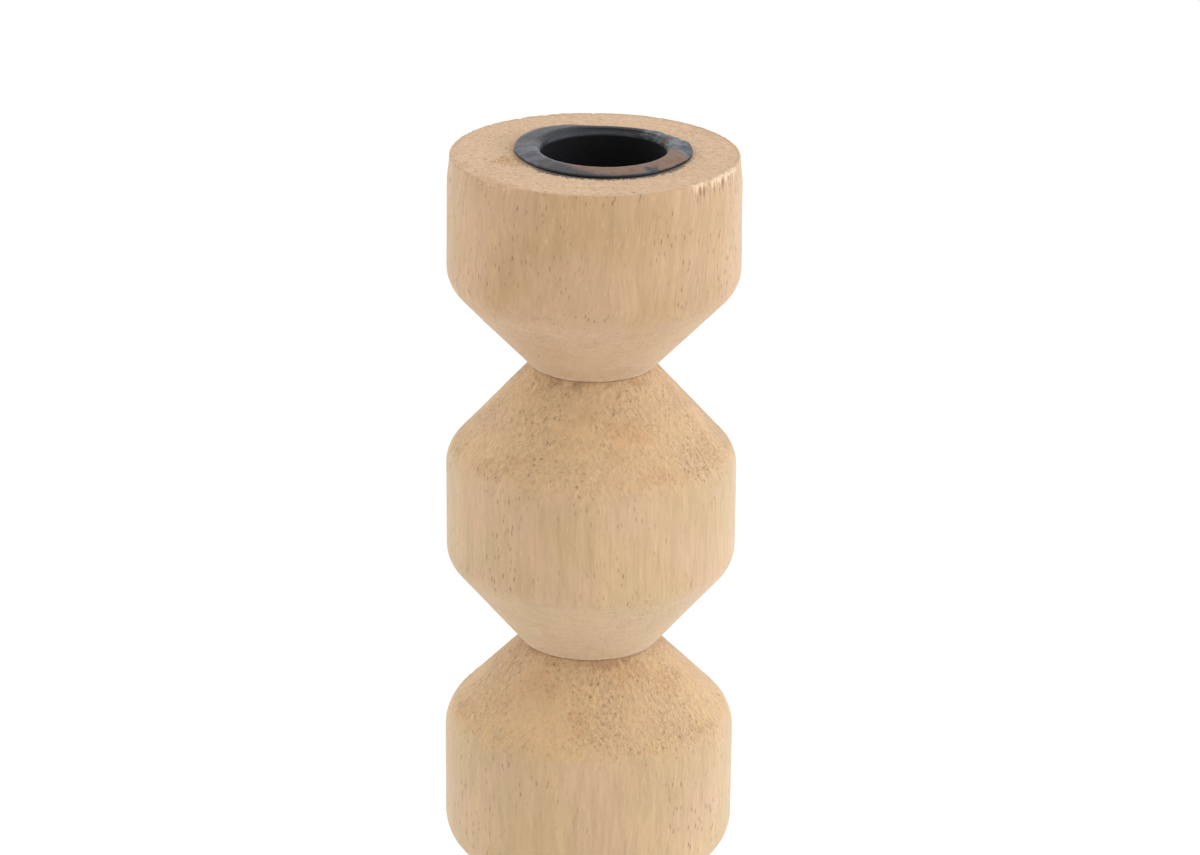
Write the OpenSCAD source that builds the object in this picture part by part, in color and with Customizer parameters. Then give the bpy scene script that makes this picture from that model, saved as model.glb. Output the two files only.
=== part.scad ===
// Turned wooden candlestick: four beads doweled end to end, an iron candle cup
// let into the top one and a felt disc under the foot. Millimetres, +Z up. The
// origin is on the turning axis, at the underside of the felt.

/* [Top bead] */
// Diameter of the top bead
top_bead_d = 52.4; // [46:0.2:64]
// Height of its straight band, up to the flat top
top_band_h = 23.0; // [20:0.1:32]
// Height of the cone below the band
top_taper_h = 15.9; // [13:0.1:24]
// How far the worn rim leans in at the top face
rim_inset = 0.7; // [0.2:0.1:2]
// How far down the band that lean starts
rim_h = 4.6; // [1:0.1:8]

/* [Upper bead] */
// Diameter of the second bead from the top
upper_bead_d = 52.2; // [46:0.2:64]
// Height of its upper cone
upper_shoulder_h = 17.0; // [12:0.1:24]
// Height of its straight band
upper_band_h = 19.7; // [12:0.1:32]
// Height of its lower cone
upper_taper_h = 16.4; // [12:0.1:24]

/* [Lower bead] */
// Diameter of the third bead from the top
lower_bead_d = 52.6; // [46:0.2:64]
// Height of its upper cone
lower_shoulder_h = 14.7; // [12:0.1:24]
// Height of its straight band
lower_band_h = 22.8; // [12:0.1:32]
// Height of its lower cone
lower_taper_h = 15.5; // [12:0.1:24]

/* [Foot bead] */
// Diameter of the foot bead
foot_bead_d = 52.4; // [46:0.2:64]
// Height of its cone
foot_shoulder_h = 15.9; // [13:0.1:24]
// Height of its straight band, down to the flat foot
foot_band_h = 23.0; // [12:0.1:32]
// Width and height of the chamfer round the foot
foot_chamfer = 0.8; // [0.2:0.1:3]

/* [Necks] */
// Neck diameter between the top and upper beads
top_neck_d = 22.4; // [18:0.1:28]
// Neck diameter between the upper and lower beads
middle_neck_d = 24.6; // [18:0.1:28]
// Neck diameter between the lower and foot beads
bottom_neck_d = 24.6; // [18:0.1:28]
// Radius that softens the corner between a band and a cone
corner_r = 6.4; // [1:0.1:10]
// Chamfer round each end face, which shows as a fine seam at the neck
seam_chamfer = 0.25; // [0.1:0.05:1]

/* [Dowels] */
// Diameter of the dowel in each neck
dowel_d = 10; // [6:0.5:12]
// Length of each dowel
dowel_l = 30; // [22:0.5:38]
// How far the top dowel enters the top bead, short enough to clear the cup
top_dowel_entry = 11; // [6:0.5:13]
// Chamfer on the dowel ends
dowel_chamfer = 1; // [0.3:0.1:1.5]
// Number of glue flutes round a dowel
flute_count = 12; // [6:1:16]
// Depth of each flute
flute_depth = 0.4; // [0.2:0.05:0.6]
// Gap round a dowel in its hole, filled with glue
dowel_gap = 0.05; // [0.02:0.01:0.2]
// Space left for glue past each dowel end
glue_space = 0.5; // [0.2:0.1:2]

/* [Candle cup] */
// Inside diameter of the cup, for a 22 mm candle
cup_bore_d = 22.4; // [20:0.1:26]
// Depth of the cup below the flat top
cup_depth = 20; // [12:0.5:24]
// Thickness of the cup's tube
cup_wall = 1.3; // [0.8:0.1:2]
// Thickness of the cup's floor
cup_floor = 1.2; // [0.8:0.1:2.5]
// Radius inside the bottom corner of the cup
cup_corner_r = 1.5; // [0.5:0.1:3]
// Width of the lip that rests on the wood, from the bore to its outer edge
lip_w = 4.7; // [2.5:0.1:8]
// Height of the lip's crest above the wood
lip_h = 1.5; // [1:0.1:3]
// Height of the lip's outer edge
lip_edge_h = 1.0; // [0.6:0.1:1.8]
// Sideways offset of the cup from the turning axis
cup_offset = 1.5; // [0:0.1:3]
// Gap round the cup in its seat, filled with glue
cup_gap = 0.1; // [0.05:0.01:0.4]
// Space under the cup's floor
seat_space = 0.5; // [0.2:0.1:2]

/* [Foot felt] */
// Diameter of the felt disc under the foot
felt_d = 46; // [30:0.5:50]
// Thickness of the felt disc
felt_t = 1.5; // [0.8:0.1:4]

/* [Hidden] */
$fn = 96;

pale_wood = [0.81, 0.68, 0.54];
dowel_wood = [0.87, 0.77, 0.60];
black_iron = [0.20, 0.20, 0.21];
brown_felt = [0.24, 0.19, 0.16];

// The arc steps in each rounded corner
arc_steps = 8;
// The most of an edge that a rounded corner at one end may use
edge_share = 0.48;
// How far a cutting tool runs past the face that it opens
past = 1;

// Heights of the joints, from the table up
foot_z = felt_t;
bottom_neck_z = foot_z + foot_band_h + foot_shoulder_h;
middle_neck_z = bottom_neck_z + lower_taper_h + lower_band_h + lower_shoulder_h;
top_neck_z = middle_neck_z + upper_taper_h + upper_band_h + upper_shoulder_h;
wood_top_z = top_neck_z + top_taper_h + top_band_h;

// How far a dowel enters a bead, where both beads take the same share of it
half_entry = dowel_l / 2;
// How far the top dowel enters the upper bead
long_entry = dowel_l - top_dowel_entry;

// Cup radii, its height below the wood's top face, and its seat
bore_r = cup_bore_d / 2;
tube_r = bore_r + cup_wall;
lip_r = bore_r + lip_w;
cup_h = cup_depth + cup_floor;
seat_r = tube_r + cup_gap;
seat_depth = cup_h + seat_space;
// The crest lies this share of the way from the bore to the lip's edge
crest_share = 0.42;
crest_r = bore_r + crest_share * lip_w;

function unit(v) = v / norm(v);

function turned(v, angle) = [
    v.x * cos(angle) - v.y * sin(angle),
    v.x * sin(angle) + v.y * cos(angle)
];

// The arc that rounds corner b between a and c, kept to its share of either edge
function rounded_corner(a, b, c, r) =
    let (u = unit(a - b),
         w = unit(c - b),
         half = acos(u * w) / 2,
         room = edge_share * min(norm(a - b), norm(c - b)),
         setback = min(r / tan(half), room),
         centre = b + unit(u + w) * setback / cos(half),
         start = b + u * setback - centre,
         finish = b + w * setback - centre,
         sweep = atan2(cross(start, finish), start * finish))
    [for (i = [0 : arc_steps]) centre + turned(start, sweep * i / arc_steps)];

// An outline from corners given as [x, y, radius], with radius 0 for a sharp one
function outline(corners) =
    let (n = len(corners),
         xy = [for (c = corners) [c.x, c.y]])
    [for (i = [0 : n - 1])
        each corners[i].z == 0
            ? [xy[i]]
            : rounded_corner(xy[(i + n - 1) % n], xy[i], xy[(i + 1) % n], corners[i].z)];

// The stretch of outline at a neck end face, with its seam chamfer.
// side is 1 where the face looks up and -1 where it looks down.
function neck_end(d, z, side) =
    let (face = [d / 2 - seam_chamfer, z, 0],
         edge = [d / 2, z - side * seam_chamfer, 0])
    side < 0 ? [[0, z, 0], face, edge] : [edge, face, [0, z, 0]];

// A blind hole that opens at height z, for a dowel that goes in by entry.
// side is as in neck_end.
module dowel_hole(z, side, entry) {
    depth = entry + glue_space;
    translate([0, 0, z + side * (past - depth) / 2])
        cylinder(d = dowel_d + 2 * dowel_gap, h = depth + past, center = true);
}

// A bead with a cone at each end, standing on height z. A dowel goes into its
// top end by high_entry.
module double_bead(z, d, taper_h, band_h, shoulder_h, low_neck_d, high_neck_d, high_entry) {
    band_z = z + taper_h;
    top_z = band_z + band_h + shoulder_h;
    color(pale_wood)
    difference() {
        rotate_extrude()
            polygon(outline(concat(
                neck_end(low_neck_d, z, -1),
                [[d / 2, band_z, corner_r], [d / 2, band_z + band_h, corner_r]],
                neck_end(high_neck_d, top_z, 1))));
        dowel_hole(z, -1, half_entry);
        dowel_hole(top_z, 1, high_entry);
    }
}

// The flat-topped bead that takes the cup
module top_bead() {
    r = top_bead_d / 2;
    rim_r = r - rim_inset;
    rim_edge_r = 0.6;
    color(pale_wood)
    difference() {
        rotate_extrude()
            polygon(outline(concat(
                neck_end(top_neck_d, top_neck_z, -1),
                [[r, top_neck_z + top_taper_h, corner_r],
                 [r, wood_top_z - rim_h, corner_r],
                 [rim_r, wood_top_z, rim_edge_r],
                 [0, wood_top_z, 0]])));
        dowel_hole(top_neck_z, -1, top_dowel_entry);
        translate([cup_offset, 0, wood_top_z - seat_depth])
            cylinder(r = seat_r, h = seat_depth + past);
    }
}

module upper_bead() {
    double_bead(middle_neck_z, upper_bead_d, upper_taper_h, upper_band_h,
                upper_shoulder_h, middle_neck_d, top_neck_d, long_entry);
}

module lower_bead() {
    double_bead(bottom_neck_z, lower_bead_d, lower_taper_h, lower_band_h,
                lower_shoulder_h, bottom_neck_d, middle_neck_d, half_entry);
}

// The flat-bottomed bead that the candlestick stands on
module foot_bead() {
    r = foot_bead_d / 2;
    color(pale_wood)
    difference() {
        rotate_extrude()
            polygon(outline(concat(
                [[0, foot_z, 0],
                 [r - foot_chamfer, foot_z, 0],
                 [r, foot_z + foot_chamfer, 0],
                 [r, foot_z + foot_band_h, corner_r]],
                neck_end(bottom_neck_d, bottom_neck_z, 1))));
        dowel_hole(bottom_neck_z, 1, half_entry);
    }
}

// A fluted dowel across the neck at height z, which it passes by entry above it
module dowel(z, entry) {
    r = dowel_d / 2;
    flute_r = 0.7;
    color(dowel_wood)
    translate([0, 0, z + entry - dowel_l])
    difference() {
        rotate_extrude()
            polygon([[0, 0],
                     [r - dowel_chamfer, 0],
                     [r, dowel_chamfer],
                     [r, dowel_l - dowel_chamfer],
                     [r - dowel_chamfer, dowel_l],
                     [0, dowel_l]]);
        for (i = [0 : flute_count - 1])
            rotate(360 * i / flute_count)
            translate([r + flute_r - flute_depth, 0, -past])
                cylinder(r = flute_r, h = dowel_l + 2 * past, $fn = 24);
    }
}

// The cup: a tube with a floor, and a domed lip that rests on the wood
module candle_cup() {
    lip_edge_r = 0.8;
    crest_round_r = 2.5;
    mouth_round_r = 1.2;
    outer_corner_r = cup_corner_r + cup_wall;
    color(black_iron)
    translate([cup_offset, 0, wood_top_z])
    rotate_extrude()
        polygon(outline([
            [0, -cup_h, 0],
            [tube_r, -cup_h, outer_corner_r],
            [tube_r, 0, 0],
            [lip_r, 0, 0],
            [lip_r, lip_edge_h, lip_edge_r],
            [crest_r, lip_h, crest_round_r],
            [bore_r, lip_edge_h, mouth_round_r],
            [bore_r, -cup_depth, cup_corner_r],
            [0, -cup_depth, 0]]));
}

module foot_felt() {
    color(brown_felt)
        cylinder(d = felt_d, h = felt_t);
}

top_bead();
upper_bead();
lower_bead();
foot_bead();
dowel(top_neck_z, top_dowel_entry);  // top_dowel
dowel(middle_neck_z, half_entry);  // middle_dowel
dowel(bottom_neck_z, half_entry);  // bottom_dowel
candle_cup();
foot_felt();
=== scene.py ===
"""Wooden candlestick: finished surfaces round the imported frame.

Four turned beads stand on each other, held by dowels in their necks. An iron cup for
the candle is let into the top one, and a felt disc is glued under the foot. Everything
is in metres, +Z up, with the origin under the middle of the foot.
"""

import logging
import math
from dataclasses import dataclass, replace
from enum import Enum
from functools import partial, reduce
from typing import Sequence

import bpy
from mathutils import Matrix, Vector


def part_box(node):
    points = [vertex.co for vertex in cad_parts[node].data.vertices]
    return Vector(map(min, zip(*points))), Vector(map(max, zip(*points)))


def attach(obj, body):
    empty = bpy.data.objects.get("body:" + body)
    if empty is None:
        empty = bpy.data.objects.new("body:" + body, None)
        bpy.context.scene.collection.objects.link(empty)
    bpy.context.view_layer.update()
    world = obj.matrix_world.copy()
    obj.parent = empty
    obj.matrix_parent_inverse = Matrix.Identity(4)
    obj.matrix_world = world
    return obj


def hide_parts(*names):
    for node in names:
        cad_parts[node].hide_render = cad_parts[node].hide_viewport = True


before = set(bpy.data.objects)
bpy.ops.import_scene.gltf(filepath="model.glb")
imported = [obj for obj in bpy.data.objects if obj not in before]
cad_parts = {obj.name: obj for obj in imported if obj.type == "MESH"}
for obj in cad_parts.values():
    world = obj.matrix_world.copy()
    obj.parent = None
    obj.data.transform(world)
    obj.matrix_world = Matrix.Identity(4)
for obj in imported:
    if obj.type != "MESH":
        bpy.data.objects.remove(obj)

MM = 0.001
PER_MM = 1000.0
MERGE = 0.001 * MM
MIX_LOW, MIX_HIGH, MIX_RESULT = 6, 7, 2
ORIGIN = (0.0, 0.0, 0.0)
WHITE = (1.0, 1.0, 1.0)
BODY = "root"
UV_NAME = "OFBake"

Colour = tuple[float, float, float]
Triple = tuple[float, float, float]
Socket = bpy.types.NodeSocket
Settable = Socket | float | int | Sequence[float]

log = logging.getLogger("candlestick")


class Slot(Enum):
    """The material slots."""

    WOOD = "turned_wood"
    DOWEL = "dowel_wood"
    IRON = "blackened_iron"
    FELT = "felt"


class Facing(Enum):
    """Which way an end of a bead looks."""

    UP = 1
    DOWN = -1


def paint(red: int, green: int, blue: int) -> Colour:
    """Give the linear colour of a display colour.

    Args:
        red, green, blue: display values from 0 to 255.

    Returns:
        The same colour in linear light, from 0 to 1.
    """

    def linear(value: int) -> float:
        """Undo the display curve of one channel."""
        share = value / 255
        return share / 12.92 if share <= 0.04045 else ((share + 0.055) / 1.055) ** 2.4

    return linear(red), linear(green), linear(blue)


def add_object(name: str, data: bpy.types.ID) -> bpy.types.Object:
    """Put a new object into the scene.

    Args:
        name: the object's name.
        data: its mesh, lamp or camera.

    Returns:
        The object.
    """
    piece = bpy.data.objects.new(name, data)
    bpy.context.scene.collection.objects.link(piece)
    return piece


# ---------------------------------------------------------------- node trees


class Graph:
    """Adds linked nodes to one shader or geometry tree."""

    def __init__(self, tree: bpy.types.NodeTree) -> None:
        """Keep the tree that nodes are added to."""
        self.tree = tree

    def put(self, socket: Socket, value: Settable) -> None:
        """Link a socket to a socket, or set its value.

        Args:
            socket: the input to feed.
            value: an output socket, a number or a sequence of numbers.
        """
        if isinstance(value, bpy.types.NodeSocket):
            self.tree.links.new(value, socket)
        elif socket.type == "RGBA" and len(value) == 3:
            socket.default_value = (*value, 1.0)
        else:
            socket.default_value = value

    def node(self, kind: str, inputs: dict | None = None, **settings: object) -> bpy.types.Node:
        """Add a node.

        Args:
            kind: the node's type name.
            inputs: values or sockets by input name or index.
            settings: the node's own properties.

        Returns:
            The new node.
        """
        node = self.tree.nodes.new(kind)
        for name, value in settings.items():
            setattr(node, name, value)
        for key, value in (inputs or {}).items():
            self.put(node.inputs[key], value)
        return node

    def math(self, operation: str, *values: Settable) -> Socket:
        """Work out one number from up to three."""
        return self.node("ShaderNodeMath", dict(enumerate(values)), operation=operation).outputs[0]

    def add(self, *values: Settable) -> Socket:
        """Sum any number of numbers."""
        return reduce(partial(self.math, "ADD"), values)

    def times(self, *values: Settable) -> Socket:
        """Multiply any number of numbers."""
        return reduce(partial(self.math, "MULTIPLY"), values)

    def rest(self, share: Settable) -> Socket:
        """Give what a share leaves of 1."""
        return self.math("SUBTRACT", 1.0, share)

    def at_least(self, least: float, share: Socket) -> Socket:
        """Lift a share, so that it runs from a least value to 1."""
        return self.add(self.times(share, 1.0 - least), least)

    def radius(self, place: Socket) -> Socket:
        """Give the level distance of a place from the axis."""
        x, y, _ = self.split(place)
        return self.vector("LENGTH", self.joined(x, y, 0.0))

    def either(self, *values: Settable) -> Socket:
        """Give the largest of any number of numbers."""
        return reduce(partial(self.math, "MAXIMUM"), values)

    def vector(self, operation: str, *values: Settable) -> Socket:
        """Work out one vector, or a vector's length, from vectors."""
        node = self.node("ShaderNodeVectorMath", dict(enumerate(values)), operation=operation)
        return node.outputs["Value" if operation in ("LENGTH", "DISTANCE", "DOT_PRODUCT") else "Vector"]

    def scaled(self, vector: Settable, by: Settable) -> Socket:
        """Multiply a vector or a colour by one number."""
        node = self.node("ShaderNodeVectorMath", {0: vector, "Scale": by}, operation="SCALE")
        return node.outputs[0]

    def split(self, vector: Socket) -> tuple[Socket, Socket, Socket]:
        """Take a vector apart."""
        return tuple(self.node("ShaderNodeSeparateXYZ", {0: vector}).outputs)

    def joined(self, x: Settable, y: Settable, z: Settable) -> Socket:
        """Make a vector from three numbers."""
        return self.node("ShaderNodeCombineXYZ", {0: x, 1: y, 2: z}).outputs[0]

    def pitched(self, at: Socket, pitch: float | Triple) -> Socket:
        """Scale a place by a pitch, in features per unit, the same all ways or not."""
        return self.scaled(at, pitch) if isinstance(pitch, float) else self.vector("MULTIPLY", at, pitch)

    def noise(self, at: Socket, pitch: float | Triple, detail: float = 2.0, roughness: float = 0.5) -> Socket:
        """Sample smooth noise, about 0.5 on average, of the given pitch."""
        inputs = {"Vector": self.pitched(at, pitch), "Scale": 1.0, "Detail": detail, "Roughness": roughness}
        return self.node("ShaderNodeTexNoise", inputs).outputs["Fac"]

    def drift(self, at: Socket, reach: Settable) -> Socket:
        """Sample a vector noise of the given reach, centred on zero."""
        node = self.node("ShaderNodeTexNoise", {"Vector": at, "Scale": 1.0, "Detail": 1.0})
        return self.scaled(self.vector("SUBTRACT", node.outputs["Color"], (0.5, 0.5, 0.5)), reach)

    def cells(self, at: Socket) -> tuple[Socket, Socket]:
        """Give the distance to the nearest scattered point, and a number for that point."""
        node = self.node("ShaderNodeTexVoronoi", {"Vector": at, "Scale": 1.0})
        return node.outputs["Distance"], self.split(node.outputs["Color"])[0]

    def ramp(self, value: Settable, start: float, end: float, low: float = 0.0, high: float = 1.0) -> Socket:
        """Map the range from start to end softly onto the range from low to high, and hold the ends."""
        inputs = {"Value": value, "From Min": start, "From Max": end, "To Min": low, "To Max": high}
        return self.node("ShaderNodeMapRange", inputs, interpolation_type="SMOOTHSTEP").outputs["Result"]

    def spread(self, value: Socket, by: float) -> Socket:
        """Turn a value about 0.5 into one about 0, times a factor."""
        return self.times(self.math("SUBTRACT", value, 0.5), by)

    def blend(self, share: Settable, low: Settable, high: Settable) -> Socket:
        """Mix two colours."""
        inputs = {"Factor": share, MIX_LOW: low, MIX_HIGH: high}
        return self.node("ShaderNodeMix", inputs, data_type="RGBA").outputs[MIX_RESULT]

    def turn(self, x: Socket, y: Socket) -> Socket:
        """Give the direction of a point about the axis, in degrees from -180 to 180."""
        return self.math("DEGREES", self.math("ARCTAN2", y, x))


class GeometryTree(Graph):
    """A geometry tree with named inputs, one geometry in and one geometry out."""

    def __init__(self, name: str, inputs: dict[str, tuple[str, object]]) -> None:
        """Make the tree.

        Args:
            name: the tree's name.
            inputs: socket type and usual value by input name.
        """
        super().__init__(bpy.data.node_groups.new(name, "GeometryNodeTree"))
        face = self.tree.interface
        face.new_socket("Geometry", in_out="INPUT", socket_type="NodeSocketGeometry")
        face.new_socket("Geometry", in_out="OUTPUT", socket_type="NodeSocketGeometry")
        for label, (kind, start) in inputs.items():
            socket = face.new_socket(label, in_out="INPUT", socket_type=f"NodeSocket{kind}")
            socket.default_value = start
        face.new_socket("Finish", in_out="INPUT", socket_type="NodeSocketMaterial")
        self.given = self.node("NodeGroupInput").outputs

    def attribute(self, name: str) -> Socket:
        """Read a number that the mesh carries."""
        return self.node("GeometryNodeInputNamedAttribute", {"Name": name}).outputs["Attribute"]

    def position(self) -> Socket:
        """Read each point's place."""
        return self.node("GeometryNodeInputPosition").outputs[0]

    def normal(self) -> Socket:
        """Read each point's outward direction."""
        return self.node("GeometryNodeInputNormal").outputs[0]

    def kept(self, mesh: Socket, name: str, value: Settable, **settings: str) -> Socket:
        """Store a value on the mesh under a name, as a number at each point unless the settings differ."""
        inputs = {"Geometry": mesh, "Name": name, "Value": value}
        return self.node("GeometryNodeStoreNamedAttribute", inputs, **settings).outputs[0]

    def placed(self, mesh: Socket, place: Settable) -> Socket:
        """Put each point at a place."""
        return self.node("GeometryNodeSetPosition", {"Geometry": mesh, "Position": place}).outputs[0]

    def moved(self, mesh: Socket, offset: Settable) -> Socket:
        """Move each point by an offset."""
        return self.node("GeometryNodeSetPosition", {"Geometry": mesh, "Offset": offset}).outputs[0]

    def sample(self, source: Socket, value: Socket, row: Socket, kind: str) -> Socket:
        """Read a value of another mesh at a row number."""
        inputs = {"Geometry": source, "Value": value, "Index": row}
        return self.node("GeometryNodeSampleIndex", inputs, data_type=kind).outputs[0]

    def lump(self, at: Socket, pitch: float | Triple, detail: float = 2.0, roughness: float = 0.5) -> Socket:
        """Sample noise from about -1 to 1."""
        return self.spread(self.noise(at, pitch, detail, roughness), 2.0)

    def turned(self) -> Socket:
        """Turn the outline that comes in round the axis, as a closed skin.

        The outline is a chain of points, with x as the radius. Each carries how worked
        its surface is, how far it shifts off the axis, and where it lies along the chain.

        Returns:
            The skin, with a UV map of turn and length along the outline.
        """
        outline = self.given["Geometry"]
        count = self.node("GeometryNodeAttributeDomainSize", {0: outline}).outputs["Point Count"]
        sizes = {"Size X": 1.0, "Size Y": 1.0, "Vertices Y": count}
        sizes["Vertices X"] = self.add(self.given["Around"], 1)
        grid = self.node("GeometryNodeMeshGrid", sizes)
        across, up, _ = self.split(self.position())
        row = self.math("ROUND", self.times(self.add(up, 0.5), self.add(count, -1)))
        skin = grid.outputs["Mesh"]
        for name in ("worked", "shift", "along", "rim"):
            skin = self.kept(skin, name, self.sample(outline, self.attribute(name), row, "FLOAT"))
        around = self.split(grid.outputs["UV Map"])[0]
        flat = self.joined(around, self.attribute("along"), 0.0)
        skin = self.kept(skin, UV_NAME, flat, data_type="FLOAT2", domain="CORNER")
        radius, _, height = self.split(self.sample(outline, self.position(), row, "FLOAT_VECTOR"))
        angle = self.times(self.add(across, 0.5), math.tau)
        ring = self.joined(
            self.times(radius, self.math("COSINE", angle)),
            self.times(radius, self.math("SINE", angle)),
            height,
        )
        shifted = self.scaled(self.given["Shift"], self.attribute("shift"))
        skin = self.placed(skin, self.vector("ADD", ring, shifted))
        return self.node("GeometryNodeMergeByDistance", {0: skin, "Distance": MERGE}).outputs[0]

    def close(self, geometry: Socket) -> None:
        """End the tree: realise, shade smooth, set the finish and give it out.

        Args:
            geometry: what the tree has made.
        """
        real = self.node("GeometryNodeRealizeInstances", {0: geometry}).outputs[0]
        smooth = self.node("GeometryNodeSetShadeSmooth", {0: real}).outputs[0]
        dressed = self.node("GeometryNodeSetMaterial", {0: smooth, "Material": self.given["Finish"]})
        self.node("NodeGroupOutput", {0: dressed.outputs[0]})

    def apply(self, piece: bpy.types.Object, finish: bpy.types.Material, **values: object) -> None:
        """Run the tree on a piece and leave a plain mesh.

        Args:
            piece: the object whose mesh goes in.
            finish: the material.
            values: the other inputs, with underscores for spaces.
        """
        modifier = piece.modifiers.new(self.tree.name, "NODES")
        modifier.node_group = self.tree
        wanted = {name.replace("_", " "): value for name, value in values.items()}
        wanted["Finish"] = finish
        for item in self.tree.interface.items_tree:
            if item.name in wanted:
                modifier[item.identifier] = wanted.pop(item.name)
        if wanted:
            raise ValueError(f"{self.tree.name} has no input called {sorted(wanted)}")
        graph = bpy.context.evaluated_depsgraph_get()
        mesh = bpy.data.meshes.new_from_object(
            piece.evaluated_get(graph), preserve_all_data_layers=True, depsgraph=graph
        )
        piece.modifiers.remove(modifier)
        piece.data = mesh


# ---------------------------------------------------------------- outlines


@dataclass(frozen=True)
class Corner:
    """A corner of a turned outline, and the stretch that follows it.

    worked is how far its surface shows the wood's relief, shift how far it follows a
    hole that is off centre, and rim how much it is worn as an edge.
    """

    r: float
    z: float
    soft: float = 0.0
    shown: bool = False
    worked: float = 0.0
    shift: float = 0.0
    rim: float = 0.0

    @property
    def place(self) -> Vector:
        """The corner in the plane of the outline."""
        return Vector((self.r, self.z))


@dataclass
class Outline:
    """A chain of corners, from the axis round the outside and back to the axis."""

    corners: list[Corner]
    step: float
    arc_steps: int = 14
    share: float = 0.48
    hidden_weight: float = 0.25

    def rounded(self, at: int) -> list[Vector]:
        """Give the points that stand for one corner.

        Args:
            at: the corner's number in the chain.

        Returns:
            The corner itself where it is sharp, or the points of its arc.
        """
        corner = self.corners[at]
        if corner.soft == 0.0:
            return [corner.place]
        back = self.corners[at - 1].place - corner.place
        ahead = self.corners[at + 1].place - corner.place
        half = back.angle(ahead) / 2
        setback = min(corner.soft / math.tan(half), self.share * min(back.length, ahead.length))
        start = corner.place + back.normalized() * setback
        finish = corner.place + ahead.normalized() * setback
        inward = (back.normalized() + ahead.normalized()).normalized()
        centre = corner.place + inward * setback / math.cos(half)
        first, last = start - centre, finish - centre
        sweep = -first.angle_signed(last)
        turns = [Matrix.Rotation(sweep * step / self.arc_steps, 2) for step in range(self.arc_steps + 1)]
        return [centre + turn @ first for turn in turns]

    def points(self) -> list[tuple[Vector, Corner, Corner, float]]:
        """Step along the whole chain.

        Returns:
            Every point, the corners before and after it, and its share between them.
        """
        found: list[tuple[Vector, Corner, Corner, float]] = []
        arcs = [self.rounded(at) for at in range(len(self.corners))]
        for at, arc in enumerate(arcs):
            corner = self.corners[at]
            found += [(point, corner, corner, 0.0) for point in arc]
            if at + 1 == len(arcs):
                break
            start, finish = arc[-1], arcs[at + 1][0]
            count = math.ceil((finish - start).length / self.step) if corner.shown else 1
            for index in range(1, count):
                share = index / count
                found.append((start.lerp(finish, share), corner, self.corners[at + 1], share))
        return found

    def chain(self, name: str) -> bpy.types.Object:
        """Make the mesh chain that a turning tree takes in.

        Args:
            name: the piece's name.

        Returns:
            The new object, linked into the scene.
        """
        points = self.points()
        places = [point for point, *_ in points]
        lengths = [0.0]
        for index in range(1, len(points)):
            weight = 1.0 if points[index][1].shown else self.hidden_weight
            lengths.append(lengths[-1] + weight * (places[index] - places[index - 1]).length)
        mesh = bpy.data.meshes.new(name)
        edges = [(index, index + 1) for index in range(len(points) - 1)]
        mesh.from_pydata([(place.x, 0.0, place.y) for place in places], edges, [])
        values = {"along": [length / lengths[-1] for length in lengths]}
        for label in ("worked", "shift", "rim"):
            values[label] = [
                (1 - share) * getattr(low, label) + share * getattr(high, label)
                for _, low, high, share in points
            ]
        for label, numbers in values.items():
            mesh.attributes.new(label, "FLOAT", "POINT").data.foreach_set("value", numbers)
        return add_object(name, mesh)


# ---------------------------------------------------------------- finishes


class Finish:
    """Starts a material and hands out its surface and its coordinates."""

    def __init__(self, name: str, roughness: float, specular: float) -> None:
        """Start the material.

        Args:
            name: the material's name.
            roughness: how matt it is where nothing varies it.
            specular: how strongly it mirrors, with 0.5 for a plain varnish.
        """
        self.material = bpy.data.materials.new(name)
        self.material.use_nodes = True
        self.graph = Graph(self.material.node_tree)
        self.surface = self.material.node_tree.nodes["Principled BSDF"].inputs
        self.surface["Roughness"].default_value = roughness
        self.surface["Specular IOR Level"].default_value = specular
        source = self.graph.node("ShaderNodeTexCoord").outputs
        self.place = self.graph.scaled(source["Object"], PER_MM)
        self.facing = source["Normal"]

    def colour(self, value: Settable) -> None:
        """Set the surface's colour."""
        self.graph.put(self.surface["Base Color"], value)

    def relief(self, height: Socket) -> None:
        """Bump the surface by a height in millimetres."""
        bump = self.graph.node("ShaderNodeBump", {"Height": height, "Distance": MM})
        self.graph.put(self.surface["Normal"], bump.outputs[0])


@dataclass(frozen=True)
class Zones:
    """How far a point lies on each kind of turned surface, from 0 to 1.

    along is cut along the grain, cone is torn end grain on an upper cone, flat is the
    top face and under is the smoother cut of a lower cone.
    """

    along: Socket
    cone: Socket
    flat: Socket
    under: Socket

    def mixed(self, g: Graph, **shares: float) -> Socket:
        """Sum the named kinds of surface, each times its share."""
        return g.add(*(g.times(getattr(self, kind), share) for kind, share in shares.items()))


@dataclass(frozen=True)
class Pattern:
    """Smooth noise: features per millimetre, layers of detail, and how rough they are."""

    pitch: float | Triple
    detail: float = 2.0
    roughness: float = 0.5

    def on(self, g: Graph, at: Socket) -> Socket:
        """Sample the pattern at a place, about 0.5 on average."""
        return g.noise(at, self.pitch, self.detail, self.roughness)


@dataclass(frozen=True)
class Marks:
    """Long thin marks scattered through the wood.

    pitch is marks per millimetre in each direction, width a mark's half width as a share
    of the pitch, and rarity the share of places that have no mark. apart moves the marks
    away from those of another kind. core is the share of the width at full strength, and
    fade the range of rarity over which marks are weak.
    """

    pitch: Triple
    width: float
    rarity: float
    apart: Triple = ORIGIN
    core: float = 0.4
    fade: float = 0.4

    def on(self, g: Graph, grain: Socket) -> Socket:
        """Draw the marks.

        Args:
            g: the material's graph.
            grain: the place along the grain, in millimetres.

        Returns:
            1 in a mark and 0 between marks.
        """
        distance, number = g.cells(g.pitched(g.vector("ADD", grain, self.apart), self.pitch))
        inside = g.ramp(distance, self.width, self.width * self.core)
        return g.times(inside, g.ramp(number, self.rarity, self.rarity + self.fade))


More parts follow.
